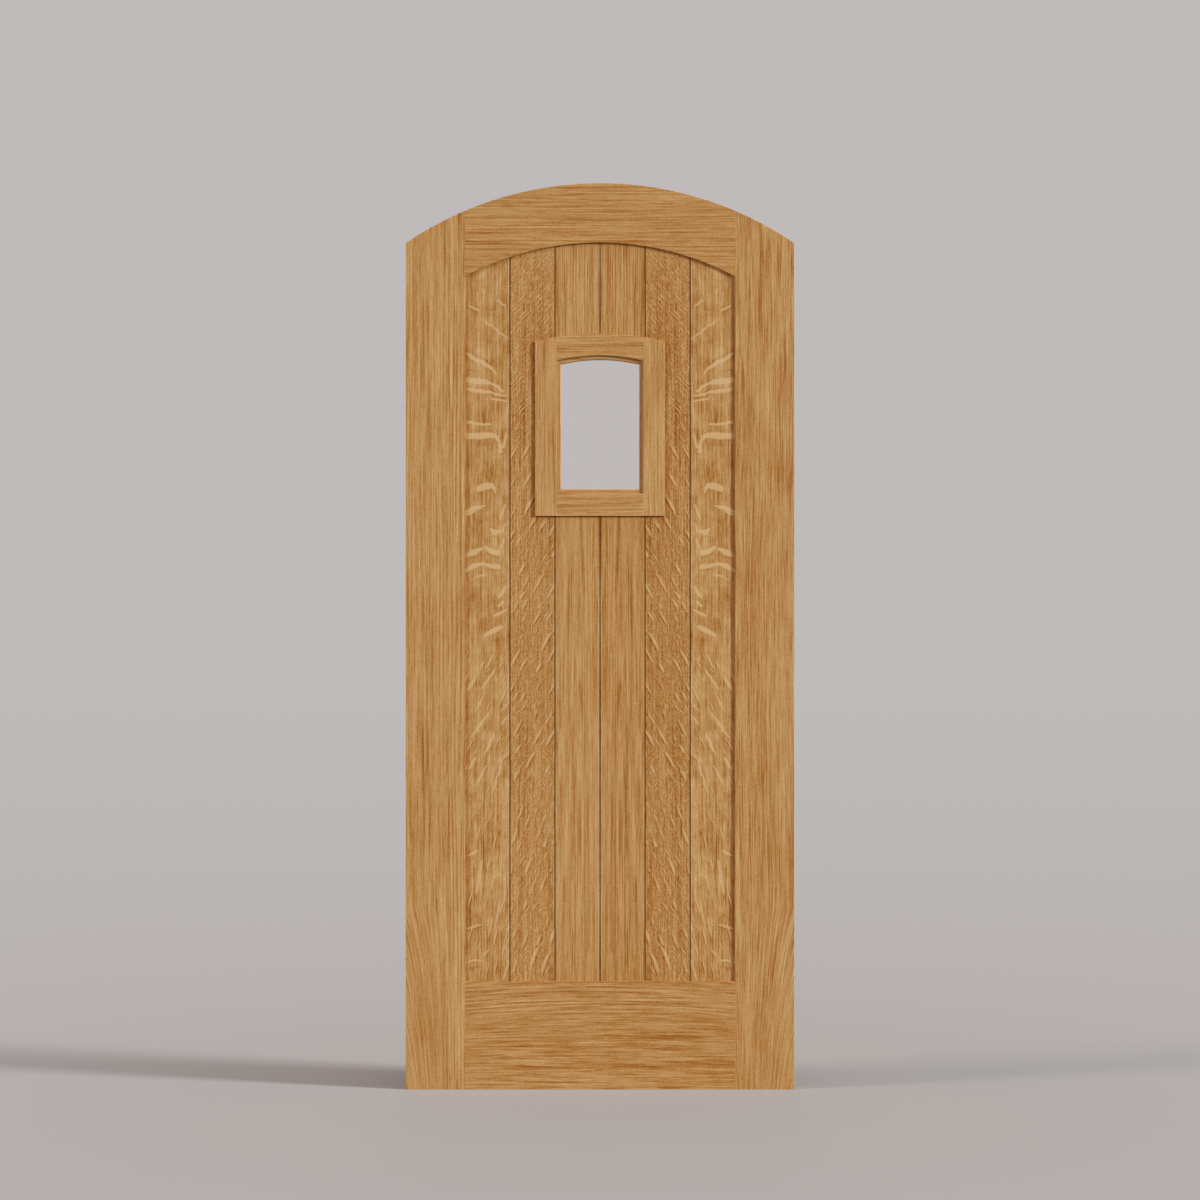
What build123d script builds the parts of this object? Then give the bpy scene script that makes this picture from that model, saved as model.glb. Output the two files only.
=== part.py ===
"""Arched oak door leaf: stiles and rails round six planks, with a small arched window.

Millimetres. X runs across the door, Y through it with the front at -Y, and Z up from its foot.
"""
import math
import os
from dataclasses import dataclass

from build123d import *

# Door leaf
door_width = 914.4
door_height = 2133.6
door_thickness = 44.45
arch_rise = 140.77
stile_width = 138.9
top_rail_width = 139.7
bottom_rail_width = 254.0
arris_chamfer = 0.4

# Mortise and tenon joints of the door's frame
tenon_thickness = 15.0
mortise_end_wall = 50.0
mortise_edge_wall = 20.0
twin_tenon_gap = 40.0
tenon_clearance = 0.2

# Grooves that hold the planks, in the door's frame and in the window's
groove_width = 12.7
groove_depth = 13.0
groove_clearance = 0.2
expansion_gap = 1.0
shoulder_gap = 0.3

# Planks
plank_count = 6
plank_recess = 3.175
joint_gap = 2.4
joint_chamfer = 0.5
edge_tongue_thickness = 8.0
edge_tongue_length = 8.0
edge_tongue_clearance = 0.2

# Window frame
window_drop = 214.3
window_width = 304.8
window_height = 429.4
window_rise = 18.5
window_stile_width = 50.0
window_head_width = 51.2
window_sill_width = 53.0
opening_rise = 13.0
window_tenon_thickness = 12.0
window_mortise_end_wall = 12.0
window_mortise_edge_wall = 6.0

# Glass, its tape and setting blocks, and the beads that hold it
glass_thickness = 6.35
glass_edge_gap = 2.5
tape_thickness = 1.5
tape_setback = 1.0
front_bead_width = 10.3
front_bead_depth = 6.35
back_bead_width = 6.0
bead_recess = 3.175
bead_clearance = 0.2
bead_chamfer = 1.2
setting_block_length = 50.0
setting_block_share = 0.5
pin_diameter = 1.4
pin_length = 20.0
pin_setting = 0.5
pin_clearance = 0.05
pin_spread_share = 0.5

# How far a cutter runs past the face that it opens
overrun = 2.0


@dataclass(frozen=True)
class ArchedOutline:
    """Upright sides, a level foot and an arched head, symmetric about the door's centre line."""

    half_width: float
    foot: float
    crown: float
    radius: float

    def grown(self, margin):
        """The same outline moved outwards all round by a margin, or inwards by a negative one."""
        return ArchedOutline(
            self.half_width + margin, self.foot - margin, self.crown + margin, self.radius + margin
        )

    def head_at(self, x):
        """Height of the arched head at a distance from the centre line."""
        return self.crown - self.radius + math.sqrt(self.radius**2 - x**2)

    def spring(self):
        """Height at which the arched head leaves the upright sides."""
        return self.head_at(self.half_width)

    def slab(self, thickness, depth=0):
        """A solid with this outline, its thickness centred at a depth along Y."""
        side, spring = self.half_width, self.spring()
        outline = Polyline((-side, spring), (-side, self.foot), (side, self.foot), (side, spring))
        outline += ThreePointArc((side, spring), (0, self.crown), (-side, spring))
        face = Plane.XZ * make_face(outline)
        return Pos(0, depth, 0) * extrude(face, amount=thickness / 2, both=True)


def radius_of_arch(half_width, rise):
    """Radius of the arc that rises by this much over twice the half width."""
    return (half_width**2 + rise**2) / (2 * rise)


def eased_ring(outer, inner, thickness):
    """The slab between two outlines, with the arrises of both its faces eased."""
    ring = outer.slab(thickness) - inner.slab(thickness + overrun)
    faces = ring.faces().filter_by(Axis.Y).sort_by(Axis.Y)
    arrises = faces[0].edges() + faces[-1].edges()
    return chamfer(arrises, arris_chamfer)


def tenons(shoulder, length, low, high, thickness, slack=0):
    """The blocks past a rail's two shoulders, or with a slack, the mortises that take them."""
    block = Box(
        length + slack,
        thickness + 2 * slack,
        high - low + 2 * slack,
        align=(Align.MIN, Align.CENTER, Align.MIN),
    )
    right = Pos(shoulder, 0, low - slack) * block
    return right + mirror(right, about=Plane.YZ)


def split_frame(ring, outer, inner):
    """Cut a ring at the inner outline's sides into left stile, right stile, top rail and bottom rail."""
    middle = (outer.foot + outer.crown) / 2
    block = Box(
        outer.half_width,
        door_thickness + overrun,
        outer.crown - outer.foot + overrun,
        align=(Align.MIN, Align.CENTER, Align.CENTER),
    )
    right_side = Pos(inner.half_width, 0, middle) * block
    left_side = mirror(right_side, about=Plane.YZ)
    rails = (ring - right_side - left_side).solids().sort_by(Axis.Z)
    return ring & left_side, ring & right_side, rails[-1], rails[0]


def joint_frame(ring, outer, inner, tenon_rows, length, thickness):
    """Split a ring into stiles and rails, and give the rails tenons and the stiles their mortises.

    tenon_rows holds (low, high) heights: the top rail's first, then those of the bottom rail.
    """
    left, right, top, bottom = split_frame(ring, outer, inner)
    shoulder = inner.half_width
    for low, high in tenon_rows:
        mortises = tenons(shoulder, length, low, high, thickness, tenon_clearance)
        left -= mortises
        right -= mortises
    top += tenons(shoulder, length, *tenon_rows[0], thickness)
    for low, high in tenon_rows[1:]:
        bottom += tenons(shoulder, length, low, high, thickness)
    return left, right, top, bottom


# Outlines of the door, of the field inside its frame, of the window's frame and of its opening
half_width = door_width / 2
door = ArchedOutline(half_width, 0, door_height, radius_of_arch(half_width, arch_rise))
field = ArchedOutline(
    half_width - stile_width,
    bottom_rail_width,
    door_height - top_rail_width,
    door.radius - top_rail_width,
)
window_half = window_width / 2
window_crown = field.crown - window_drop
window = ArchedOutline(
    window_half,
    window_crown - window_height,
    window_crown,
    radius_of_arch(window_half, window_rise),
)
opening_half = window_half - window_stile_width
opening = ArchedOutline(
    opening_half,
    window.foot + window_sill_width,
    window_crown - window_head_width,
    radius_of_arch(opening_half, opening_rise),
)


def door_frame():
    """The door's two stiles, arched top rail and bottom rail, grooved for the planks."""
    groove = field.grown(groove_depth)
    ring = eased_ring(door, field, door_thickness) - groove.slab(groove_width)
    length = stile_width - mortise_end_wall
    top_low = groove.head_at(field.half_width) + mortise_edge_wall
    top_high = door.head_at(field.half_width + length) - mortise_edge_wall
    low = mortise_edge_wall
    high = groove.foot - mortise_edge_wall
    twin_height = (high - low - twin_tenon_gap) / 2
    rows = [(top_low, top_high), (low, low + twin_height), (high - twin_height, high)]
    return joint_frame(ring, door, field, rows, length, tenon_thickness)


def window_frame():
    """The window's stiles and rails, grooved round the outside for the planks."""
    bed = window.grown(-groove_depth)
    groove = window.grown(overrun).slab(groove_width) - bed.slab(door_thickness)
    ring = eased_ring(window, opening, door_thickness) - groove
    length = window_stile_width - groove_depth - window_mortise_end_wall
    top_low = opening.spring() + window_mortise_edge_wall
    top_high = bed.head_at(opening.half_width + length) - window_mortise_edge_wall
    low = bed.foot + window_mortise_edge_wall
    high = opening.foot - window_mortise_edge_wall
    rows = [(top_low, top_high), (low, high)]
    return joint_frame(ring, window, opening, rows, length, window_tenon_thickness)


plank_thickness = door_thickness - 2 * plank_recess
plank_pitch = 2 * field.half_width / plank_count
lip_length = groove_depth - expansion_gap
lip_thickness = groove_width - 2 * groove_clearance


def plank_room():
    """The space that the planks fill: the field round the window, with thin lips in the grooves."""
    faces = field.grown(-shoulder_gap).slab(plank_thickness)
    faces -= window.grown(shoulder_gap).slab(door_thickness)
    lips = field.grown(lip_length).slab(lip_thickness)
    lips -= window.grown(-lip_length).slab(door_thickness)
    return faces + lips


def plank_section(index):
    """Section of one plank: a tongue on its right and a groove on its left, with open, eased joints."""
    first, last = index == 0, index == plank_count - 1
    left = index * plank_pitch - field.half_width
    right = left + plank_pitch
    low = left - lip_length if first else left + joint_gap / 2
    high = right + lip_length if last else right - joint_gap / 2
    section = Pos((low + high) / 2, 0) * Rectangle(high - low, plank_thickness)
    columns = section.vertices().group_by(Axis.X)
    joint_corners = ([] if first else list(columns[0])) + ([] if last else list(columns[-1]))
    section = chamfer(joint_corners, joint_chamfer)
    if not first:
        groove_reach = edge_tongue_length + edge_tongue_clearance
        groove_height = edge_tongue_thickness + 2 * edge_tongue_clearance
        section -= Pos(low, 0) * Rectangle(2 * groove_reach, groove_height)
    if not last:
        reach = joint_gap + edge_tongue_length
        tongue = Rectangle(reach, edge_tongue_thickness, align=(Align.MIN, Align.CENTER))
        section += Pos(high, 0) * tongue
    return section


def planks():
    """All planks by name, the ones that the window interrupts as an upper and a lower piece."""
    room = plank_room()
    window_middle = (window.foot + window.crown) / 2
    above = Pos(0, 0, window_middle) * Box(
        door_width, door_thickness, door_height, align=(Align.CENTER, Align.CENTER, Align.MIN)
    )
    middle_pair = (plank_count // 2 - 1, plank_count // 2)
    pieces = {}
    for index in range(plank_count):
        plank = extrude(plank_section(index), amount=door_height) & room
        name = f"plank_{index + 1}"
        if index in middle_pair:
            pieces[f"{name}_upper"] = plank & above
            pieces[f"{name}_lower"] = plank - above
        else:
            pieces[name] = plank
    return pieces


@dataclass(frozen=True)
class GlassSide:
    """One side of the glass: the outline inside its beads, and where its layers lie along Y."""

    sight_line: ArchedOutline
    glass_face: float
    tape_face: float
    bead_face: float
    pin_depth: float

    def layer(self, outline, start, end):
        """A slab with an outline, between two places along Y."""
        return outline.slab(abs(end - start), (start + end) / 2)

    def mitre_wedge(self, corner_height, inner_height, far_height):
        """The region between the mitres of two corners, from the glass out to a far height."""
        inner_x = self.sight_line.half_width
        past_x = 2 * opening.half_width - inner_x
        past_height = 2 * corner_height - inner_height
        outline = Polyline(
            (-past_x, past_height),
            (-inner_x, inner_height),
            (inner_x, inner_height),
            (past_x, past_height),
            (past_x, far_height),
            (-past_x, far_height),
            close=True,
        )
        return extrude(Plane.XZ * make_face(outline), amount=door_thickness / 2, both=True)

    def mitred_sides(self, ring):
        """Cut a ring round the glass at its mitres into head, sill, left and right."""
        head_wedge = self.mitre_wedge(opening.spring(), self.sight_line.spring(), window.crown)
        sill_wedge = self.mitre_wedge(opening.foot, self.sight_line.foot, window.foot)
        right_half = Pos(0, 0, opening.foot) * Box(
            window_width, door_thickness, window_height, align=(Align.MIN, Align.CENTER, Align.MIN)
        )
        right = (ring & right_half) - head_wedge - sill_wedge
        left = mirror(right, about=Plane.YZ)
        return {"head": ring & head_wedge, "sill": ring & sill_wedge, "left": left, "right": right}

    def beads(self):
        """The four beads by side, each with the open arris next to the glass eased."""
        ring = self.layer(opening.grown(-bead_clearance), self.tape_face, self.bead_face)
        ring -= self.sight_line.slab(2 * door_thickness)
        glass_middle = (0, self.bead_face, (opening.foot + opening.crown) / 2)
        pieces = {}
        for side, bead in self.mitred_sides(ring).items():
            open_face = bead.faces().filter_by(Axis.Y).sort_by_distance(glass_middle)[0]
            inner_arris = open_face.edges().sort_by_distance(glass_middle)[0]
            pieces[side] = chamfer(inner_arris, bead_chamfer)
        return pieces

    def tape(self):
        """The tape strips between glass and beads, mitred like the beads."""
        ring = self.layer(pane, self.glass_face, self.tape_face)
        ring -= self.sight_line.grown(tape_setback).slab(2 * door_thickness)
        return Compound(children=list(self.mitred_sides(ring).values()))

    def pin_rods(self, radius, start, length):
        """Rods across the beads, from a distance behind their inner edge outwards."""
        rod = Cylinder(radius, length, align=(Align.CENTER, Align.CENTER, Align.MIN))
        reach = self.sight_line.half_width
        height = opening.spring() - opening.foot
        middle = (opening.spring() + opening.foot) / 2
        rods = []
        for side in (-1, 1):
            x = side * reach * pin_spread_share
            z = middle + side * height * pin_spread_share / 2
            rods.append(Pos(x, self.pin_depth, self.sight_line.head_at(x) + start) * rod)
            rods.append(Pos(x, self.pin_depth, self.sight_line.foot - start) * Rot(180, 0, 0) * rod)
            rods.append(Pos(reach + start, self.pin_depth, z) * Rot(0, 90, 0) * rod)
            rods.append(Pos(-reach - start, self.pin_depth, z) * Rot(0, -90, 0) * rod)
        return rods


# The glass lies near the front, behind a shallow bead, and a deep, narrow bead holds it from the back
pane = opening.grown(-glass_edge_gap)
bead_face = door_thickness / 2 - bead_recess
pin_depth = bead_face - front_bead_depth / 2
front_tape = front_bead_depth - bead_face
front_glass = front_tape + tape_thickness
back_glass = front_glass + glass_thickness
back_tape = back_glass + tape_thickness
glass_sides = {
    "front": GlassSide(opening.grown(-front_bead_width), front_glass, front_tape, -bead_face, -pin_depth),
    "back": GlassSide(opening.grown(-back_bead_width), back_glass, back_tape, bead_face, pin_depth),
}


def bead_pins(radius, start, length):
    """The pins of both sides, or with a greater radius and length, the holes that take them."""
    rods = [side.pin_rods(radius, start, length) for side in glass_sides.values()]
    return Compound(children=sum(rods, []))


def setting_blocks():
    """The two blocks that the glass stands on."""
    block = Box(
        setting_block_length, glass_thickness, glass_edge_gap, align=(Align.CENTER, Align.CENTER, Align.MIN)
    )
    depth = (front_glass + back_glass) / 2
    block_x = pane.half_width * setting_block_share
    return Compound(children=[Pos(x, depth, opening.foot) * block for x in (-block_x, block_x)])


nodes = dict(zip(("left_stile", "right_stile", "arched_top_rail", "bottom_rail"), door_frame()))
nodes.update(planks())

hole_length = overrun + pin_setting + pin_length + pin_clearance
pin_holes = bead_pins(pin_diameter / 2 + pin_clearance, -overrun, hole_length)
window_names = ("window_left_stile", "window_right_stile", "window_top_rail", "window_bottom_rail")
for name, piece in zip(window_names, window_frame()):
    nodes[name] = piece - pin_holes
for face, glass_side in glass_sides.items():
    for side, bead in glass_side.beads().items():
        nodes[f"{face}_bead_{side}"] = bead - pin_holes
    nodes[f"{face}_glazing_tape"] = glass_side.tape()
nodes["bead_pins"] = bead_pins(pin_diameter / 2, pin_setting, pin_length)
nodes["window_glass"] = pane.slab(glass_thickness, (front_glass + back_glass) / 2)
nodes["setting_blocks"] = setting_blocks()

os.makedirs("parts", exist_ok=True)
for name, piece in nodes.items():
    export_step(piece, f"parts/{name}.step")
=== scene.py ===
"""Finishes, studio and camera for an arched oak door leaf with a small window.

The frame is in metres: X runs across the door, Y through it with the front at -Y, and Z up from its foot.
The wood's figure is given in millimetres, as a joiner would measure it on the boards.
"""
import logging
import math
from dataclasses import dataclass, replace
from enum import Enum
from functools import reduce
from typing import Any, ClassVar, Union

import bmesh
import bpy
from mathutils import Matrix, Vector


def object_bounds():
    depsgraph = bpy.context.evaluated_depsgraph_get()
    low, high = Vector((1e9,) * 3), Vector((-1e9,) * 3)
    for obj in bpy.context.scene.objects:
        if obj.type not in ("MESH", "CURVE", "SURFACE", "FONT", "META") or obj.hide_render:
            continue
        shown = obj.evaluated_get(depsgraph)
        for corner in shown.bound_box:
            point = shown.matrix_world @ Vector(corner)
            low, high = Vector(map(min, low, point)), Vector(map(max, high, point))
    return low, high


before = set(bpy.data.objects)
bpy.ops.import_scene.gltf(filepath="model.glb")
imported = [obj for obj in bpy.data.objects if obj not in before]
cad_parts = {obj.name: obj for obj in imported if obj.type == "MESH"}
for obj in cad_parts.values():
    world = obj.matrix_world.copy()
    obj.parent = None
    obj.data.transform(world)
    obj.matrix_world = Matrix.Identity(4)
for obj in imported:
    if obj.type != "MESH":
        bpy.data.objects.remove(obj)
CAD_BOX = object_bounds()
MILLIMETRES = 1000.0
LOG = logging.getLogger("door")

Number = Union[float, "Shade"]
Colour = tuple[float, float, float, float]
Size = tuple[float, float, float]
Span = tuple[float, float]
Ray = tuple[tuple[float, float, float], ...]


def srgb(red: float, green: float, blue: float) -> Colour:
    """Turn an sRGB colour into the linear one that shaders take.

    Args:
        red: Red from 0 to 255.
        green: Green from 0 to 255.
        blue: Blue from 0 to 255.

    Returns:
        The linear colour with an alpha of 1.
    """
    parts = [channel / 255 for channel in (red, green, blue)]
    linear = [p / 12.92 if p <= 0.04045 else ((p + 0.055) / 1.055) ** 2.4 for p in parts]
    return (*linear, 1.0)


class FinishTree:
    """The node tree of a material or of the world, with short calls that add nodes to it."""

    def __init__(self, tree: bpy.types.NodeTree) -> None:
        """Start from an empty tree."""
        self.tree = tree
        tree.nodes.clear()

    def add(
        self,
        kind: str,
        settings: dict[str, Any] | None = None,
        inputs: dict[int | str, Any] | None = None,
    ) -> bpy.types.Node:
        """Add a node.

        Args:
            kind: The node's type.
            settings: Its own settings, which are set first; "stops" gives a ramp's positions and colours.
            inputs: Values or links of its sockets, by name or by number.

        Returns:
            The new node.
        """
        node = self.tree.nodes.new(kind)
        for name, value in (settings or {}).items():
            if name == "stops":
                self._set_stops(node.color_ramp.elements, value)
            else:
                setattr(node, name, value)
        for key, value in (inputs or {}).items():
            if isinstance(value, Shade):
                value = value.socket
            if isinstance(value, bpy.types.NodeSocket):
                self.tree.links.new(value, node.inputs[key])
            else:
                node.inputs[key].default_value = value
        return node

    @staticmethod
    def _set_stops(elements: bpy.types.ColorRampElements, stops: list[tuple[float, Colour]]) -> None:
        """Give a ramp its positions and colours."""
        while len(elements) < len(stops):
            elements.new(0.5)
        for element, (position, colour) in zip(elements, stops):
            element.position = position
            element.color = colour

    def math(self, operation: str, *values: Number) -> "Shade":
        """Add a Math node on the values and return its result."""
        node = self.add("ShaderNodeMath", {"operation": operation}, dict(enumerate(values)))
        return Shade(self, node.outputs[0])

    def vector(self, operation: str, *values: Any) -> bpy.types.Node:
        """Add a Vector Math node on the values and return it."""
        return self.add("ShaderNodeVectorMath", {"operation": operation}, dict(enumerate(values)))

    def mix(self, factor: Number, low: Any, high: Any, blend: str = "MIX") -> bpy.types.NodeSocket:
        """Blend from one colour to another and return the colour's socket."""
        settings = {"data_type": "RGBA", "blend_type": blend}
        # Inputs 6 and 7 and output 2 are the node's colours.
        return self.add("ShaderNodeMix", settings, {0: factor, 6: low, 7: high}).outputs[2]

    def place(self) -> "Place":
        """Return where the shaded point is on the door, in millimetres."""
        coordinates = self.add("ShaderNodeTexCoord")
        parts = self.add("ShaderNodeSeparateXYZ", inputs={0: coordinates.outputs["Object"]})
        x, y, z = (Shade(self, socket) * MILLIMETRES for socket in parts.outputs)
        return Place(self, x, y, z)

    def surface(self, kind: str, inputs: dict[int | str, Any]) -> bpy.types.Node:
        """Add a shader and make it the tree's surface."""
        shader = self.add(kind, inputs=inputs)
        output = "ShaderNodeOutputWorld" if kind == "ShaderNodeBackground" else "ShaderNodeOutputMaterial"
        self.add(output, inputs={"Surface": shader.outputs[0]})
        return shader


def new_material(name: str) -> tuple[bpy.types.Material, FinishTree]:
    """Make an empty material.

    Args:
        name: The material's name.

    Returns:
        The material and its tree.
    """
    made = bpy.data.materials.new(name)
    made.use_nodes = True
    return made, FinishTree(made.node_tree)


class Shade:
    """A number that changes over a surface: an output socket whose arithmetic adds Math nodes."""

    def __init__(self, tree: FinishTree, socket: bpy.types.NodeSocket) -> None:
        """Wrap a socket of a tree."""
        self.tree = tree
        self.socket = socket

    def __add__(self, other: Number) -> "Shade":
        """Add."""
        return self.tree.math("ADD", self, other)

    __radd__ = __add__

    def __mul__(self, other: Number) -> "Shade":
        """Multiply."""
        return self.tree.math("MULTIPLY", self, other)

    __rmul__ = __mul__

    def __sub__(self, other: Number) -> "Shade":
        """Subtract."""
        return self.tree.math("SUBTRACT", self, other)

    def __rsub__(self, other: Number) -> "Shade":
        """Subtract this from another number."""
        return self.tree.math("SUBTRACT", other, self)

    def __truediv__(self, other: Number) -> "Shade":
        """Divide."""
        return self.tree.math("DIVIDE", self, other)

    def __abs__(self) -> "Shade":
        """Take the size without the sign."""
        return self.tree.math("ABSOLUTE", self)

    def peak(self, other: Number) -> "Shade":
        """Take the greater of two numbers."""
        return self.tree.math("MAXIMUM", self, other)

    def rise(self, low: Number, high: Number) -> "Shade":
        """Go smoothly from 0 at the low value to 1 at the high one."""
        settings = {"interpolation_type": "SMOOTHSTEP"}
        node = self.tree.add("ShaderNodeMapRange", settings, {0: self, 1: low, 2: high})
        return Shade(self.tree, node.outputs[0])


@dataclass(frozen=True)
class Place:
    """Where a point lies in a board, in millimetres."""

    tree: FinishTree
    across: Shade
    through: Shade
    along: Shade

    def cell(self, size: Size, seed: float) -> bpy.types.NodeSocket:
        """Return this place as a vector in which a pattern's cell measures 1.

        Args:
            size: The cell's size across, through and along the board.
            seed: Moves the pattern, so that no two boards match.

        Returns:
            The vector's socket.
        """
        parts = {0: self.across / size[0] + seed, 1: self.through / size[1], 2: self.along / size[2] + seed}
        return self.tree.add("ShaderNodeCombineXYZ", inputs=parts).outputs[0]

    def noise(self, size: Size, seed: float, detail: float = 0.0) -> Shade:
        """Return a soft random pattern about zero.

        Args:
            size: Size of its patches across, through and along the board.
            seed: Moves the pattern.
            detail: How many finer patterns lie on it.

        Returns:
            The pattern, mostly between -0.5 and 0.5.
        """
        inputs = {"Vector": self.cell(size, seed), "Scale": 1.0, "Detail": detail}
        node = self.tree.add("ShaderNodeTexNoise", inputs=inputs)
        return Shade(self.tree, node.outputs[0]) - 0.5

    def threads(self, size: Size, seed: float, width: float) -> Shade:
        """Return thin wandering lines: 1 on a line and 0 beside it.

        Args:
            size: Distance between the lines across and through the board, and how far they run along it.
            seed: Moves the lines.
            width: Half a line's width as a share of their distance.

        Returns:
            The lines.
        """
        return (width - abs(self.noise(size, seed))).rise(0.0, width)

    def zone(self, low: float, high: float, soft: float) -> Shade:
        """Return 1 between two places along the board and 0 outside, with soft ends."""
        return self.along.rise(low - soft, low + soft) * (1 - self.along.rise(high - soft, high + soft))


class Grain(Enum):
    """Which way a board's grain runs on the door."""

    UPRIGHT = "upright"
    LEVEL = "level"


@dataclass(frozen=True)
class RayDrawing:
    """Rays drawn one by one: each is a row of points as (from the door's centre line, height, half width).
    """

    rays: tuple[Ray, ...]

    def body(self, place: Place) -> Shade:
        """Return how far inside a ray the point lies, in millimetres: less than 0 outside."""
        tree = place.tree
        point = tree.add("ShaderNodeCombineXYZ", inputs={0: place.across, 2: place.along}).outputs[0]
        inside: Shade | None = None
        for ray in self.rays:
            for (across, height, width), (next_across, next_height, next_width) in zip(ray, ray[1:]):
                step = Vector((next_across - across, 0.0, next_height - height))
                start = tree.vector("SUBTRACT", point, (across, 0.0, height)).outputs[0]
                along = tree.vector("DOT_PRODUCT", start, step / step.length_squared).outputs["Value"]
                share = Shade(tree, tree.add("ShaderNodeClamp", inputs={0: along}).outputs[0])
                foot = tree.add("ShaderNodeVectorMath", {"operation": "SCALE"}, {0: step, "Scale": share})
                distance = Shade(tree, tree.vector("DISTANCE", start, foot.outputs[0]).outputs["Value"])
                here = share * (next_width - width) + width - distance
                inside = here if inside is None else inside.peak(here)
        return inside


@dataclass(frozen=True)
class FleckFigure:
    """Many small slanted ray flecks, set at random over part of a plank's height.

    Lengths are in millimetres and the slant is in degrees. The share says how many places hold a fleck.
    """

    pitch_across: float
    pitch_along: float
    half_width: float
    half_length: float
    slant: float
    share: float
    low: float
    high: float
    bend: float = 0.2

    PITCH_THROUGH: ClassVar[float] = 60.0
    SCATTER: ClassVar[float] = 0.8
    SHORTEST: ClassVar[float] = 0.55
    LENGTH_RANGE: ClassVar[float] = 0.9
    THINNEST: ClassVar[float] = 0.6
    WIDTH_RANGE: ClassVar[float] = 0.8
    SHARE_STEP: ClassVar[float] = 0.05
    SOFT_END: ClassVar[float] = 60.0
    SOFT_SIDE: ClassVar[float] = 0.7
    DARK_OFFSET: ClassVar[float] = 1.4

    def masks(self, place: Place, seed: float) -> tuple[Shade, Shade]:
        """Draw the flecks.

        Args:
            place: Where the point lies.
            seed: Moves the flecks.

        Returns:
            1 inside a fleck, and 1 in the dark line beside it.
        """
        tree = place.tree
        angle = math.radians(self.slant)
        side = place.across * math.cos(angle) + place.along * math.sin(angle)
        run = place.along * math.cos(angle) - place.across * math.sin(angle)
        turned = Place(tree, side, place.through, run)
        cell = turned.cell((self.pitch_across, self.PITCH_THROUGH, self.pitch_along), seed)
        settings = {"voronoi_dimensions": "3D"}
        inputs = {"Vector": cell, "Scale": 1.0, "Randomness": self.SCATTER}
        spots = tree.add("ShaderNodeTexVoronoi", settings, inputs)
        away = tree.vector("SUBTRACT", cell, spots.outputs["Position"])
        offset = tree.add("ShaderNodeSeparateXYZ", inputs={0: away.outputs[0]})
        chance = tree.add("ShaderNodeSeparateColor", inputs={0: spots.outputs["Color"]})
        lot, long, wide = (Shade(tree, socket) for socket in chance.outputs)
        reach = (long * self.LENGTH_RANGE + self.SHORTEST) * (self.half_length / self.pitch_along)
        from_middle = Shade(tree, offset.outputs[2]) / reach
        square = from_middle * from_middle
        bow = square * (wide - 0.5) * (self.half_length * self.bend)
        beside = Shade(tree, offset.outputs[0]) * self.pitch_across + bow
        width = (1 - square) * (wide * self.WIDTH_RANGE + self.THINNEST) * self.half_width
        kept = lot.rise(1 - self.share, 1 + self.SHARE_STEP - self.share)
        kept = kept * place.zone(self.low, self.high, self.SOFT_END)
        soft = self.half_width * self.SOFT_SIDE
        pale = (width - abs(beside)).rise(0.0, soft) * kept
        dark = (width - abs(beside + self.half_width * self.DARK_OFFSET)).rise(0.0, soft) * kept
        return pale, dark


@dataclass(frozen=True)
class FieldEdges:
    """Where the planks meet the door's frame, the window and each other, in millimetres."""

    half_width: float = 318.3
    arch_centre: float = 1320.8
    arch_radius: float = 673.1
    window_half: float = 152.4
    window_foot: float = 1350.2
    window_crown: float = 1779.6
    window_rise: float = 18.5
    plank_face: float = 19.05
    plank_pitch: float = 106.1
    # How far the painted shade reaches from the frame and the window, and how near it is at full strength.
    painted_shade_reach: float = 12.0
    painted_shade_full: float = 1.0
    joint_depths: Span = (0.05, 0.3)
    # How near to and how far from each plank edge the painted highlight reaches.
    highlight_reach: Span = (2.8, 4.2)

    def corner(self, place: Place) -> Shade:
        """Paint shade on the planks beside the frame and the window, where the raised edges shade them.

        Args:
            place: Where the point lies.

        Returns:
            1 in the painted shade in the corners, 0 out on the planks.
        """
        tree, side, height = place.tree, abs(place.across), place.along
        rise = (height - self.arch_centre).peak(0.0)
        past = tree.math("SQRT", side * side + rise * rise) - self.arch_radius
        past = past.peak(side - self.half_width)
        top = self.window_crown - side * side * (self.window_rise / self.window_half**2)
        # No shade falls above the window's head, so the painted shade ends within a millimetre there: a
        # millimetre counts as the whole reach.
        above = (height - top) * self.painted_shade_reach
        clear = (side - self.window_half).peak(above).peak(self.window_foot - height)
        return past.peak(clear * -1.0).rise(-self.painted_shade_reach, -self.painted_shade_full)

    def joint(self, place: Place) -> Shade:
        """Return 1 down in the joints, where shade is painted, and 0 on the planks' faces."""
        return (self.plank_face - abs(place.through)).rise(*self.joint_depths)

    def joint_highlight(self, place: Place) -> Shade:
        """Return 1 in the painted highlights along each plank's long edges, beside the joints and the
        stiles.
        """
        near, far = self.highlight_reach
        away = place.tree.math("PINGPONG", abs(place.across), self.plank_pitch / 2)
        return (away * -1.0).rise(-far, -near)


@dataclass(frozen=True)
class Pattern:
    """A random pattern: the size of its patches across, through and along a board, and its own seed."""

    size: Size
    seed: float
    detail: float = 0.0

    def on(self, place: Place, seed: float) -> Shade:
        """Return the pattern, about zero, on the board that has this seed."""
        return place.noise(self.size, seed + self.seed, self.detail)


@dataclass(frozen=True)
class BrokenLines:
    """Thin lines along the grain, with gaps where another pattern is low."""

    size: Size
    seed: float
    width: float
    breaks: Pattern
    fade: Span

    def on(self, place: Place, seed: float) -> Shade:
        """Return 1 on a line and 0 beside it, on the board that has this seed."""
        lines = place.threads(self.size, seed + self.seed, self.width)
        return lines * self.breaks.on(place, seed).rise(*self.fade)


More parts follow.
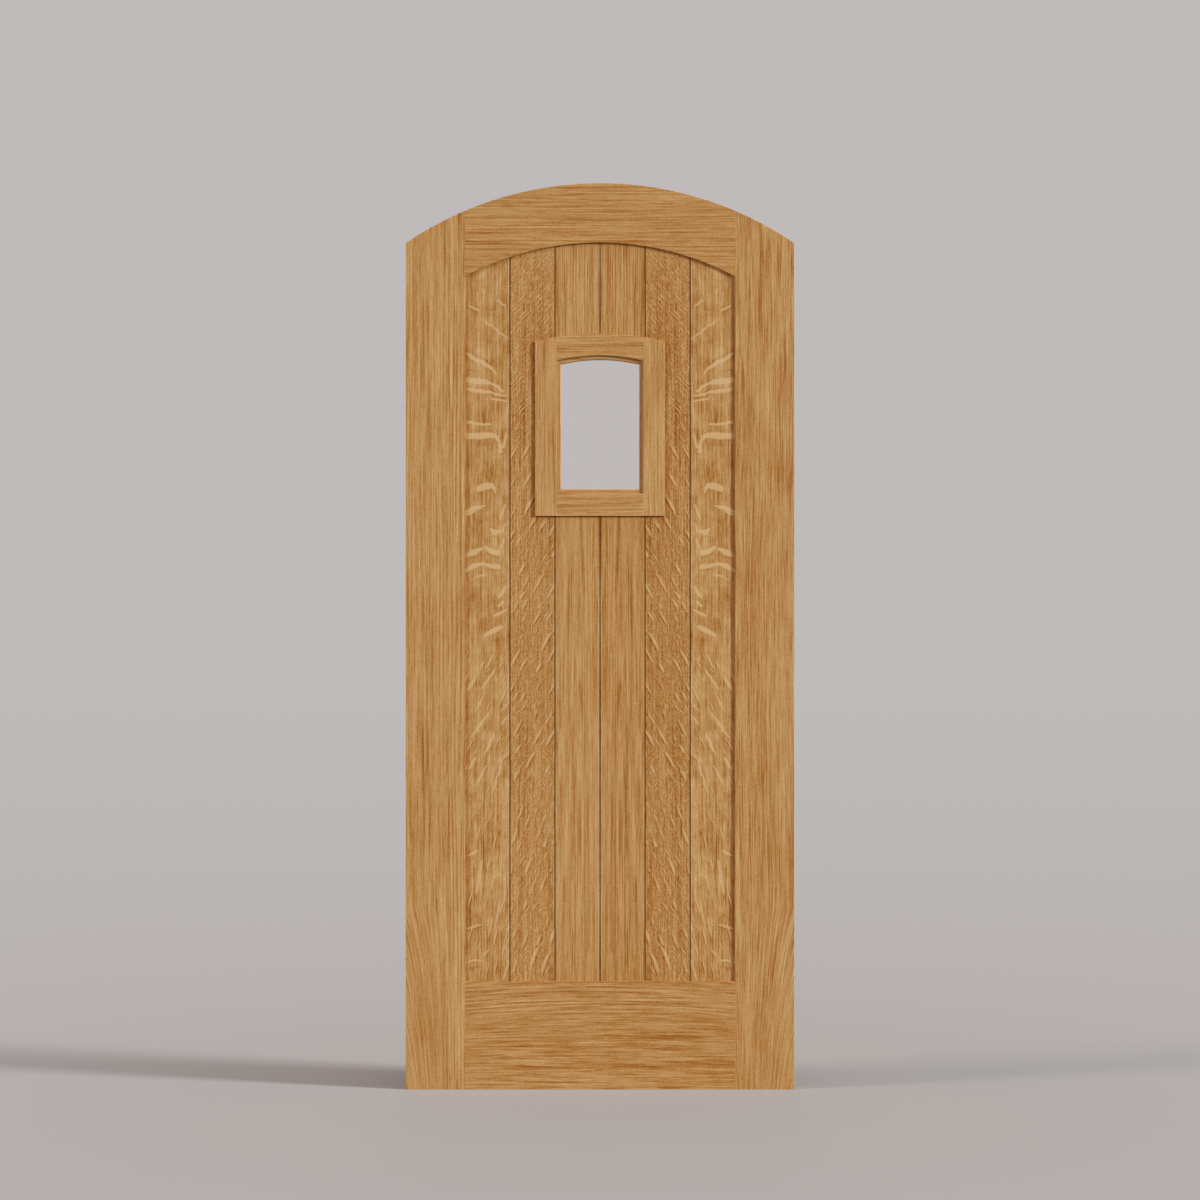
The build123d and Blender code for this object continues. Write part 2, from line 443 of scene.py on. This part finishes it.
@dataclass(frozen=True)
class QuarterSawnOak:
    """Oiled oak sawn along its radius: fine straight lines, short dashes, and rays as pale flecks."""

    name: str
    grain: Grain
    seed: float
    tint: float = 0.0
    hair_length: float = 180.0
    hair_depth: float = 0.64
    dash_length: float = 34.0
    dash_depth: float = 0.36
    line_depth: float = 0.2
    streak_depth: float = 0.18
    band_depth: float = 0.06
    blotch_depth: float = 0.18
    pebble_depth: float = 0.45
    ripple_depth: float = 0.0
    wander: float = 1.2
    bow: float = 0.0
    lean: float = 0.0
    ring_zone: Span | None = None
    ring_pitch: float = 8.5
    ring_depth: float = 0.22
    flecks: tuple[FleckFigure, ...] = ()
    pale_rays: tuple[Ray, ...] = ()
    dark_rays: tuple[Ray, ...] = ()
    ray_tone: float = 0.98
    ray_cover: float = 0.8
    mirrored: bool = False
    edges: FieldEdges | None = None
    highlight_edge: float | None = None

    STOPS: ClassVar[list[tuple[float, Colour]]] = [
        (0.0, srgb(136, 78, 26)),
        (0.25, srgb(162, 107, 50)),
        (0.5, srgb(180, 134, 80)),
        (0.75, srgb(193, 153, 101)),
        (1.0, srgb(207, 174, 128)),
    ]
    # Painted shade: the darker, redder colours multiplied in beside the frame and the window, and deep in
    # the joints.
    CORNER_PAINTED_SHADE: ClassVar[Colour] = (0.95, 0.78, 0.58, 1.0)
    JOINT_PAINTED_SHADE: ClassVar[Colour] = (0.42, 0.2, 0.07, 1.0)
    MIDDLE_TONE: ClassVar[float] = 0.55
    HAIR_PITCH: ClassVar[Span] = (3.2, 6.0)
    HAIR_SEED: ClassVar[float] = 3.1
    DASH_PITCH: ClassVar[Span] = (2.4, 6.0)
    DASH_SEED: ClassVar[float] = 5.7
    DRIFT: ClassVar[Pattern] = Pattern((70.0, 70.0, 240.0), 0.0)
    BANDS: ClassVar[Pattern] = Pattern((13.0, 60.0, 600.0), 7.9)
    BLOTCHES: ClassVar[Pattern] = Pattern((45.0, 45.0, 170.0), 9.3)
    PEBBLES: ClassVar[Pattern] = Pattern((2.0, 3.0, 4.0), 2.3, 1.0)
    RIPPLES: ClassVar[Pattern] = Pattern((26.0, 30.0, 32.0), 8.8, 1.0)
    LINES: ClassVar[BrokenLines] = BrokenLines(
        (9.0, 40.0, 900.0), 1.7, 0.08, Pattern((12.0, 40.0, 160.0), 2.9), (-0.15, 0.15)
    )
    STREAKS: ClassVar[BrokenLines] = BrokenLines(
        (4.5, 40.0, 300.0), 6.1, 0.06, Pattern((6.0, 40.0, 60.0), 4.3), (-0.05, 0.15)
    )
    BOW_HALF: ClassVar[float] = 320.0
    BOW_HEIGHTS: ClassVar[Span] = (60.0, 210.0)
    LEAN_TOP: ClassVar[float] = 430.0
    LEAN_ACROSS: ClassVar[Span] = (335.0, 460.0)
    RING_SHIFT: ClassVar[Pattern] = Pattern((30.0, 60.0, 500.0), 8.1)
    RING_WANDER: ClassVar[float] = 16.0
    RING_MEAN: ClassVar[float] = 0.4
    RING_SOFT: ClassVar[float] = 8.0
    FLECK_SEED_STEP: ClassVar[float] = 11.3
    WARP_ACROSS: ClassVar[Pattern] = Pattern((14.0, 14.0, 14.0), 4.4)
    WARP_ALONG: ClassVar[Pattern] = Pattern((9.0, 14.0, 14.0), 6.6)
    WARP_DEPTHS: ClassVar[Span] = (3.0, 4.0)
    PALE_SIDES: ClassVar[Span] = (-1.4, 1.4)
    DARK_SIDES: ClassVar[Span] = (-0.8, 1.2)
    DARK_DEPTH: ClassVar[float] = 0.2
    HIGHLIGHT_LIFT: ClassVar[float] = 0.13
    HIGHLIGHT_HALF: ClassVar[float] = 1.8
    HIGHLIGHT_SOFT: ClassVar[float] = 1.2
    ROUGHNESS: ClassVar[float] = 0.7
    ROUGHNESS_FALL: ClassVar[float] = 0.16
    SPECULAR: ClassVar[float] = 0.05
    BUMP_STRENGTH: ClassVar[float] = 0.12
    BUMP_DISTANCE: ClassVar[float] = 0.0004

    def board_place(self, tree: FinishTree) -> Place:
        """Return where a point lies in the board, with the grain along it."""
        door = tree.place()
        if self.grain is Grain.LEVEL:
            return Place(tree, door.along, door.through, door.across)
        if self.mirrored:
            return Place(tree, abs(door.across), door.through, door.along)
        return door

    def grain_place(self, place: Place) -> Place:
        """Return the place with the grain's wandering, bow and lean taken out, so that lines follow them."""
        across = place.across + self.DRIFT.on(place, self.seed) * (2 * self.wander)
        if self.bow:
            bowed = place.along * place.along * (self.bow / self.BOW_HALF**2)
            across = across + bowed * place.across.rise(*self.BOW_HEIGHTS)
        if self.lean:
            depth = (self.LEAN_TOP - place.along).peak(0.0)
            across = across + depth * self.lean * abs(place.across).rise(*self.LEAN_ACROSS)
        return replace(place, across=across)

    def tone(self, place: Place) -> Shade:
        """Return how light the plain grain is: 0 dark, 1 pale."""
        tree, seed = place.tree, self.seed
        grain = self.grain_place(place)
        hairs = Pattern((*self.HAIR_PITCH, self.hair_length), self.HAIR_SEED).on(grain, seed)
        dashes = Pattern((*self.DASH_PITCH, self.dash_length), self.DASH_SEED).on(grain, seed)
        tone = hairs * self.hair_depth + dashes * self.dash_depth
        tone = tone + self.BANDS.on(grain, seed) * self.band_depth
        tone = tone + self.BLOTCHES.on(place, seed) * self.blotch_depth + (self.MIDDLE_TONE + self.tint)
        tone = tone - self.LINES.on(grain, seed) * self.line_depth
        tone = tone - self.STREAKS.on(grain, seed) * self.streak_depth
        if self.ring_zone:
            shifted = grain.across + self.RING_SHIFT.on(place, seed) * self.RING_WANDER
            rings = tree.math("SINE", shifted * (2 * math.pi / self.ring_pitch)).rise(0.0, 1.0)
            zone = replace(place, along=place.across).zone(*self.ring_zone, self.RING_SOFT)
            tone = tone - (rings - self.RING_MEAN) * zone * self.ring_depth
        tone = tone + self.PEBBLES.on(place, seed) * self.pebble_depth
        if self.ripple_depth:
            tone = tone + self.RIPPLES.on(place, seed) * self.ripple_depth
        return tone

    def figure(self, place: Place) -> tuple[Shade, Shade] | None:
        """Return the rays' pale flecks and the dark lines beside them, each 0 to 1, if the board has any."""
        seed = self.seed
        masks = [kind.masks(place, seed + self.FLECK_SEED_STEP * n) for n, kind in enumerate(self.flecks)]
        if self.pale_rays:
            warp_across, warp_along = self.WARP_DEPTHS
            warped = replace(
                place,
                across=place.across + self.WARP_ACROSS.on(place, seed) * warp_across,
                along=place.along + self.WARP_ALONG.on(place, seed) * warp_along,
            )
            pale = RayDrawing(self.pale_rays).body(warped).rise(*self.PALE_SIDES)
            dark = RayDrawing(self.dark_rays).body(warped).rise(*self.DARK_SIDES)
            masks.append((pale, dark))
        if not masks:
            return None
        pales, darks = zip(*masks)
        return reduce(Shade.peak, pales), reduce(Shade.peak, darks)

    def material(self) -> bpy.types.Material:
        """Make the material."""
        made, tree = new_material(self.name)
        place = self.board_place(tree)
        tone = self.tone(place)
        figure = self.figure(place)
        if figure:
            pale, dark = figure
            tone = tone - dark * self.DARK_DEPTH
            tone = tone + (self.ray_tone - tone) * pale * self.ray_cover
        # Painted highlight: a pale line just inside the window frame's outer side and bottom edges.
        if self.highlight_edge:
            inside = self.HIGHLIGHT_HALF - abs(abs(place.across) - self.highlight_edge)
            tone = tone + inside.rise(0.0, self.HIGHLIGHT_SOFT) * self.HIGHLIGHT_LIFT
        if self.edges:
            # Painted highlight: pale lines along each plank's long edges, beside the joints and the stiles.
            tone = tone + self.edges.joint_highlight(place) * self.HIGHLIGHT_LIFT
        colour = tree.add("ShaderNodeValToRGB", {"stops": self.STOPS}, {0: tone}).outputs[0]
        if self.edges:
            # Painted shade: the planks are darkened and reddened beside the frame and the window, where the
            # raised edges shade them.
            colour = tree.mix(self.edges.corner(place), colour, self.CORNER_PAINTED_SHADE, "MULTIPLY")
            # Painted shade: deep in the joints the wood is darkened and reddened, where the joints lie in
            # shade.
            colour = tree.mix(self.edges.joint(place), colour, self.JOINT_PAINTED_SHADE, "MULTIPLY")
        relief = {"Strength": self.BUMP_STRENGTH, "Distance": self.BUMP_DISTANCE, "Height": tone}
        bump = tree.add("ShaderNodeBump", inputs=relief)
        inputs = {
            "Base Color": colour,
            "Roughness": self.ROUGHNESS - tone * self.ROUGHNESS_FALL,
            "Specular IOR Level": self.SPECULAR,
            "Normal": bump.outputs[0],
        }
        tree.surface("ShaderNodeBsdfPrincipled", inputs)
        return made


PALE_RAYS = (
    ((309, 1845, 2.1), (286, 1835, 2.4)),
    ((240, 1858, 2.6), (222, 1843, 1.4)),
    ((271, 1807, 1.9), (249, 1794, 2.1), (236, 1781, 2.1), (218, 1769, 1.4)),
    ((312, 1733, 2.8), (301, 1723, 5.2), (278, 1713, 4.7), (257, 1699, 3.5), (246, 1686, 1.9)),
    ((311, 1671, 6.1), (291, 1668, 6.8), (273, 1667, 6.6), (262, 1664, 4.2)),
    ((256, 1662, 2.8), (241, 1654, 3.8), (228, 1644, 2.8)),
    ((311, 1648, 3.8), (283, 1645, 4.7), (259, 1642, 2.8), (241, 1636, 2.1), (220, 1633, 1.9)),
    ((256, 1627, 1.9), (241, 1624, 2.4), (220, 1620, 2.1)),
    ((311, 1572, 3.5), (288, 1567, 3.1), (260, 1566, 2.4)),
    ((311, 1539, 7.5), (283, 1539, 8.0), (256, 1541, 6.6), (243, 1536, 4.7), (237, 1524, 3.5),
     (234, 1504, 5.2)),
    ((221, 1545, 1.9), (228, 1513, 3.3)),
    ((284, 1415, 6.6), (269, 1421, 8.9), (256, 1422, 6.6), (249, 1416, 3.3), (246, 1403, 1.4)),
    ((311, 1358, 7.5), (303, 1364, 7.5), (290, 1370, 4.7), (270, 1375, 1.9)),
    ((223, 1377, 1.9), (230, 1358, 2.8), (236, 1344, 2.1)),
    ((257, 1320, 3.1), (248, 1312, 6.1), (240, 1314, 5.4)),
    ((223, 1332, 1.6), (231, 1314, 2.4)),
    ((227, 1296, 3.3), (232, 1278, 2.6)),
    ((311, 1259, 5.2), (297, 1264, 6.4), (279, 1273, 3.8)),
    ((271, 1277, 3.1), (256, 1267, 5.9), (239, 1264, 5.7)),
    ((315, 1222, 3.8), (298, 1233, 5.9), (277, 1237, 3.8), (261, 1234, 4.5), (239, 1230, 5.7)),
    ((303, 1201, 1.4), (287, 1209, 1.6), (266, 1212, 1.4)),
    ((223, 1183, 2.6), (232, 1167, 4.2), (238, 1159, 2.8)),
    ((230, 1147, 3.8), (238, 1139, 3.3)),
    ((223, 1128, 2.4), (238, 1119, 3.1), (250, 1114, 1.9)),
    ((270, 1070, 3.8), (252, 1079, 6.1), (234, 1089, 4.7)),
    ((267, 995, 1.0), (259, 1009, 2.3), (251, 1022, 1.3)),
    ((279, 943, 1.2), (264, 964, 2.9), (249, 985, 1.2)),
    ((311, 938, 1.3), (299, 959, 3.3), (287, 981, 1.3)),
    ((295, 888, 1.0), (285, 907, 2.2), (274, 927, 1.0)),
    ((233, 891, 1.0), (224, 903, 2.3), (214, 914, 1.0)),
    ((302, 830, 1.2), (283, 858, 2.9), (263, 886, 1.2)),
    ((233, 860, 1.0), (224, 871, 2.4), (214, 881, 1.0)),
    ((273, 788, 1.5), (261, 813, 3.6), (249, 839, 1.5)),
    ((310, 754, 1.8), (301, 768, 4.6), (293, 783, 1.8)),
    ((289, 722, 1.0), (278, 743, 2.7), (267, 763, 1.0)),
    ((232, 776, 1.0), (222, 785, 2.4), (213, 794, 1.0)),
    ((250, 713, 1.0), (240, 743, 2.4), (231, 772, 1.0)),
    ((309, 551, 1.7), (299, 557, 4.1), (289, 562, 1.7)),
    ((292, 461, 1.5), (285, 500, 3.6), (278, 539, 1.5)),
    ((257, 471, 1.0), (252, 493, 2.7), (247, 515, 1.0)),
    ((249, 376, 1.0), (242, 411, 2.2), (236, 445, 1.0)),
    ((315, 377, 1.0), (297, 382, 2.7), (279, 388, 1.0)),
    ((314, 300, 1.4), (297, 303, 2.4), (282, 304, 1.4)),
    ((280, 310, 1.0), (271, 319, 2.0), (262, 328, 1.0)),
    ((232, 316, 1.0), (224, 335, 2.2), (216, 355, 1.0)),
    ((228, 257, 1.0), (221, 281, 2.3), (215, 305, 1.0)),
)
DARK_RAYS = (
    ((312, 1842, 1.4), (287, 1827, 1.2)),
    ((296, 1727, 1.2), (262, 1713, 1.2)),
    ((312, 1696, 2.1), (280, 1690, 1.4)),
    ((260, 1651, 1.4), (245, 1643, 1.4)),
    ((259, 1637, 1.4), (241, 1630, 1.6), (220, 1627, 1.4)),
    ((231, 1552, 2.4), (231, 1533, 2.8)),
    ((308, 1250, 1.9), (292, 1255, 1.9), (279, 1263, 1.4)),
    ((266, 1263, 1.4), (250, 1255, 1.9), (239, 1252, 1.9)),
    ((264, 1225, 1.4), (239, 1220, 1.9)),
    ((313, 1212, 2.4), (311, 1199, 1.9)),
    ((315, 375, 1.4), (297, 376, 1.6), (278, 382, 1.2)),
    ((313, 285, 1.6), (297, 286, 1.9), (278, 291, 1.4)),
)
FINE_FLECK = FleckFigure(
    pitch_across=20.0,
    pitch_along=62.0,
    half_width=2.1,
    half_length=22.0,
    slant=26.0,
    share=0.6,
    low=620.0,
    high=1050.0,
)
FINE_FLECKS = (
    FINE_FLECK,
    replace(FINE_FLECK, pitch_along=70.0, half_length=25.0, slant=14.0, low=250.0, high=620.0),
)
BROAD_FLECK = FleckFigure(
    pitch_across=28.0,
    pitch_along=64.0,
    half_width=3.6,
    half_length=24.0,
    slant=28.0,
    share=0.75,
    low=700.0,
    high=1600.0,
    bend=0.4,
)
SLANTED_FLECKS = (
    BROAD_FLECK,
    replace(BROAD_FLECK, pitch_along=68.0, half_length=26.0, slant=20.0, low=250.0, high=700.0),
    FleckFigure(
        pitch_across=9.0,
        pitch_along=28.0,
        half_width=1.35,
        half_length=13.0,
        slant=42.0,
        share=0.7,
        low=1540.0,
        high=2000.0,
    ),
    FleckFigure(
        pitch_across=14.0,
        pitch_along=38.0,
        half_width=1.5,
        half_length=11.0,
        slant=30.0,
        share=0.5,
        low=250.0,
        high=1540.0,
    ),
)


@dataclass(frozen=True)
class ClearGlass:
    """Clear float glass, all but colourless, with a faint smear."""

    name: str = "clear_glass"
    tint: Colour = srgb(255, 254, 254)
    bending: float = 1.5
    smear: Pattern = Pattern((40.0, 40.0, 40.0), 0.0, 2.0)
    smear_range: Span = (0.0, 0.5)
    smear_depth: float = 0.015

    def material(self) -> bpy.types.Material:
        """Make the material."""
        made, tree = new_material(self.name)
        inputs = {
            "Base Color": self.tint,
            "Roughness": self.smear.on(tree.place(), 0.0).rise(*self.smear_range) * self.smear_depth,
            "IOR": self.bending,
            "Transmission Weight": 1.0,
        }
        tree.surface("ShaderNodeBsdfPrincipled", inputs)
        return made


@dataclass(frozen=True)
class DullFinish:
    """A dull moulded or drawn finish with a fine speckle, for tape, rubber and pins."""

    name: str
    dark: Colour
    light: Colour
    speckle: float
    roughness: float
    metallic: float = 0.0

    SPECKLE_DETAIL: ClassVar[float] = 2.0
    ROUGHNESS_RANGE: ClassVar[float] = 0.2
    BUMP_STRENGTH: ClassVar[float] = 0.15
    BUMP_DISTANCE: ClassVar[float] = 0.0002

    def material(self) -> bpy.types.Material:
        """Make the material."""
        made, tree = new_material(self.name)
        size = (self.speckle, self.speckle, self.speckle)
        grit = tree.place().noise(size, 0.0, self.SPECKLE_DETAIL) + 0.5
        relief = {"Strength": self.BUMP_STRENGTH, "Distance": self.BUMP_DISTANCE, "Height": grit}
        bump = tree.add("ShaderNodeBump", inputs=relief)
        inputs = {
            "Base Color": tree.mix(grit, self.dark, self.light),
            "Roughness": grit * self.ROUGHNESS_RANGE + self.roughness,
            "Metallic": self.metallic,
            "Normal": bump.outputs[0],
        }
        tree.surface("ShaderNodeBsdfPrincipled", inputs)
        return made


def dress(node: str, material: bpy.types.Material) -> None:
    """Give one of the door's solids its finish.

    Args:
        node: Name of the solid.
        material: The finish.
    """
    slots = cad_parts[node].data.materials
    slots.clear()
    slots.append(material)
    LOG.info("dressed %s in %s", node, material.name)


@dataclass
class DoorFrame:
    """The door's stiles and rails."""

    seed: float = 2.0

    def finishes(self) -> dict[str, QuarterSawnOak]:
        """Return the oak of each board by the solid's name."""
        return {
            "left_stile": QuarterSawnOak(
                "left_stile_oak", Grain.UPRIGHT, self.seed, lean=-0.25, ring_zone=(-358.0, -300.0)
            ),
            "right_stile": QuarterSawnOak(
                "right_stile_oak",
                Grain.UPRIGHT,
                self.seed + 31.0,
                hair_length=120.0,
                hair_depth=0.72,
                blotch_depth=0.28,
                lean=0.25,
            ),
            "arched_top_rail": QuarterSawnOak(
                "top_rail_oak",
                Grain.LEVEL,
                self.seed + 57.0,
                tint=-0.05,
                streak_depth=0.14,
                blotch_depth=0.1,
            ),
            "bottom_rail": QuarterSawnOak(
                "bottom_rail_oak",
                Grain.LEVEL,
                self.seed + 83.0,
                tint=-0.08,
                hair_length=110.0,
                dash_depth=0.45,
                streak_depth=0.14,
                blotch_depth=0.1,
                bow=16.0,
                ring_zone=(175.0, 300.0),
                ring_pitch=10.0,
                ring_depth=0.16,
            ),
        }

    def build(self) -> None:
        """Dress the boards."""
        for node, oak in self.finishes().items():
            dress(node, oak.material())


@dataclass
class PlankField:
    """The six planks, of which the right three mirror the left three."""

    seed: float = 5.0

    def finishes(self) -> dict[int, QuarterSawnOak]:
        """Return the oak of each plank by its number."""
        edges = FieldEdges()
        ribbon = QuarterSawnOak(
            "plank_1_oak",
            Grain.UPRIGHT,
            self.seed,
            mirrored=True,
            edges=edges,
            hair_length=140.0,
            hair_depth=0.7,
            dash_length=26.0,
            dash_depth=0.45,
            line_depth=0.12,
            pebble_depth=0.6,
            ripple_depth=0.6,
            flecks=FINE_FLECKS,
            pale_rays=PALE_RAYS,
            dark_rays=DARK_RAYS,
        )
        slanted = QuarterSawnOak(
            "plank_2_oak",
            Grain.UPRIGHT,
            self.seed + 41.0,
            tint=-0.09,
            mirrored=True,
            edges=edges,
            hair_length=140.0,
            hair_depth=0.5,
            dash_length=26.0,
            dash_depth=0.45,
            line_depth=0.15,
            pebble_depth=1.0,
            flecks=SLANTED_FLECKS,
            ray_cover=0.74,
        )
        straight = QuarterSawnOak(
            "plank_3_oak", Grain.UPRIGHT, self.seed + 73.0, mirrored=True, edges=edges, hair_depth=0.76
        )
        return {
            1: ribbon,
            2: slanted,
            3: straight,
            4: replace(straight, name="plank_4_oak", tint=-0.06, line_depth=0.26),
            5: replace(slanted, name="plank_5_oak", tint=-0.14),
            6: ribbon,
        }

    def build(self) -> None:
        """Dress the planks."""
        finishes = self.finishes()
        oaks = {oak.name: oak for oak in finishes.values()}
        materials = {name: oak.material() for name, oak in oaks.items()}
        for number, oak in finishes.items():
            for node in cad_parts:
                if node.startswith(f"plank_{number}"):
                    dress(node, materials[oak.name])


@dataclass
class Window:
    """The window's frame, beads, glass and what holds the glass."""

    seed: float = 9.0
    # Where the painted highlight runs just inside the window frame's outer edges, in millimetres.
    stile_highlight: float = 151.4
    rail_highlight: float = 1351.2

    def build(self) -> None:
        """Dress the window."""
        upright = QuarterSawnOak(
            "window_stile_oak", Grain.UPRIGHT, self.seed, tint=0.04, highlight_edge=self.stile_highlight
        )
        level = QuarterSawnOak(
            "window_rail_oak", Grain.LEVEL, self.seed + 17.0, hair_depth=0.72, highlight_edge=self.rail_highlight
        )
        bead_upright = replace(upright, name="bead_stile_oak", seed=self.seed + 29.0)
        bead_level = replace(level, name="bead_rail_oak", seed=self.seed + 37.0)
        woods = {oak.name: oak.material() for oak in (upright, level, bead_upright, bead_level)}
        for side in ("left", "right"):
            dress(f"window_{side}_stile", woods[upright.name])
        for side in ("top", "bottom"):
            dress(f"window_{side}_rail", woods[level.name])
        for face in ("front", "back"):
            for side in ("left", "right"):
                dress(f"{face}_bead_{side}", woods[bead_upright.name])
            for side in ("head", "sill"):
                dress(f"{face}_bead_{side}", woods[bead_level.name])
        dress("window_glass", ClearGlass().material())
        tape = DullFinish("glazing_tape", srgb(52, 50, 48), srgb(70, 68, 65), 1.5, 0.7).material()
        for face in ("front", "back"):
            dress(f"{face}_glazing_tape", tape)
        rubber = DullFinish("setting_rubber", srgb(30, 30, 31), srgb(44, 44, 45), 0.8, 0.6)
        dress("setting_blocks", rubber.material())
        steel = DullFinish("pin_steel", srgb(150, 148, 144), srgb(184, 182, 178), 0.3, 0.3, 1.0)
        dress("bead_pins", steel.material())


class LampTint(Enum):
    """The colours of the lamps."""

    COOL = (0.93, 1.02, 1.05)
    WARM = (1.11, 0.97, 0.92)
    NEUTRAL = (1.0, 1.0, 1.0)


@dataclass(frozen=True)
class Lamp:
    """A broad soft light, far away.

    Its azimuth counts from the door's front to the right, its height from the horizon, and its angle is how
    wide it looks from the door, all in degrees. A strength of 1 shows a surface that faces the lamp in its
    own colour. A fill lamp only lights up shade: it shows neither as a highlight nor through the glass.
    """

    name: str
    azimuth: float
    height: float
    strength: float
    angle: float
    tint: LampTint
    fill: bool = False

    def hang(self) -> None:
        """Hang the lamp."""
        lamp = bpy.data.lights.new(self.name, "SUN")
        lamp.energy = self.strength * math.pi
        lamp.color = self.tint.value
        lamp.angle = math.radians(self.angle)
        turn, rise = math.radians(self.azimuth), math.radians(self.height)
        to_lamp = Vector((math.sin(turn) * math.cos(rise), -math.cos(turn) * math.cos(rise), math.sin(rise)))
        light = bpy.data.objects.new(self.name, lamp)
        light.rotation_euler = to_lamp.to_track_quat("Z", "Y").to_euler()
        light.visible_glossy = not self.fill
        light.visible_transmission = not self.fill
        bpy.context.scene.collection.objects.link(light)
        LOG.info("hung %s", self.name)


@dataclass
class Studio:
    """Pale floor that fades into a pale backdrop, the lamps and the camera."""

    floor_half: float = 60.0
    fade_start: float = 0.3
    fade_size: float = 2.0
    floor_colour: Colour = srgb(146.5, 142, 140)
    backdrop_colour: Colour = srgb(191, 186.5, 185.5)
    back_fill: float = 0.15
    back_reach: Span = (0.05, 0.9)
    lamps: tuple[Lamp, ...] = (
        Lamp("right_light", 73.0, height=20.0, strength=2.04, angle=9.0, tint=LampTint.COOL),
        Lamp("left_light", -73.0, height=20.0, strength=0.72, angle=14.0, tint=LampTint.WARM),
        Lamp("top_light", 0.0, height=84.0, strength=0.42, angle=14.0, tint=LampTint.WARM),
        Lamp("back_light", 180.0, height=4.0, strength=0.6, angle=14.0, tint=LampTint.NEUTRAL, fill=True),
    )
    camera_distance: float = 6.0
    camera_height: float = 0.976
    camera_lens: float = 76.46
    camera_shift: float = 0.0624

    @staticmethod
    def seen(tree: FinishTree) -> Shade:
        """Return 1 where the eye, a reflection or a view through glass meets a surface, and 0 for light."""
        path = tree.add("ShaderNodeLightPath")
        seen = Shade(tree, path.outputs["Is Camera Ray"])
        for ray in ("Is Glossy Ray", "Is Transmission Ray"):
            seen = seen.peak(Shade(tree, path.outputs[ray]))
        return seen

    def floor(self) -> None:
        """Lay the floor at the door's foot, lit near the door and the backdrop's colour far away."""
        shape = bmesh.new()
        bmesh.ops.create_grid(shape, x_segments=1, y_segments=1, size=self.floor_half)
        mesh = bpy.data.meshes.new("floor")
        shape.to_mesh(mesh)
        shape.free()
        floor = bpy.data.objects.new("floor", mesh)
        floor.location.z = CAD_BOX[0].z
        bpy.context.scene.collection.objects.link(floor)
        made, tree = new_material("studio_floor")
        point = tree.add("ShaderNodeTexCoord").outputs["Object"]
        length = tree.vector("LENGTH", point)
        past = (Shade(tree, length.outputs["Value"]) - self.fade_start).peak(0.0)
        lit = tree.add("ShaderNodeBsdfDiffuse", inputs={"Color": self.floor_colour})
        far = tree.add("ShaderNodeEmission", inputs={"Color": self.backdrop_colour})
        fade = past / (past + self.fade_size) * self.seen(tree)
        tree.surface("ShaderNodeMixShader", {0: fade, 1: lit.outputs[0], 2: far.outputs[0]})
        mesh.materials.append(made)
        LOG.info("laid the floor")

    def backdrop(self) -> None:
        """Show the backdrop's colour to the eye, and light the door's back from behind."""
        world = bpy.data.worlds.new("backdrop")
        world.use_nodes = True
        bpy.context.scene.world = world
        tree = FinishTree(world.node_tree)
        direction = tree.add("ShaderNodeTexCoord").outputs["Generated"]
        parts = tree.add("ShaderNodeSeparateXYZ", inputs={0: direction})
        behind = Shade(tree, parts.outputs[1]).rise(*self.back_reach) * self.back_fill
        grey = tree.add("ShaderNodeCombineColor", inputs={0: behind, 1: behind, 2: behind})
        colour = tree.mix(self.seen(tree), grey.outputs[0], self.backdrop_colour)
        tree.surface("ShaderNodeBackground", {"Color": colour, "Strength": 1.0})
        LOG.info("hung the backdrop")

    def camera(self) -> None:
        """Stand the camera level, square to the door's front."""
        lens = bpy.data.cameras.new("camera")
        lens.lens = self.camera_lens
        lens.shift_y = self.camera_shift
        camera = bpy.data.objects.new("camera", lens)
        camera.location = (0.0, CAD_BOX[0].y - self.camera_distance, self.camera_height)
        camera.rotation_euler = (math.pi / 2, 0.0, 0.0)
        bpy.context.scene.collection.objects.link(camera)
        bpy.context.scene.camera = camera
        LOG.info("stood the camera")

    def build(self) -> None:
        """Set up the whole studio."""
        bpy.context.scene.view_settings.view_transform = "Standard"
        self.floor()
        self.backdrop()
        for lamp in self.lamps:
            lamp.hang()
        self.camera()


def main() -> None:
    """Dress the door, piece by piece, and set up the studio."""
    logging.basicConfig(level=logging.INFO, format="%(message)s")
    for group in (DoorFrame(), PlankField(), Window(), Studio()):
        group.build()


if __name__ == "__main__":
    main()
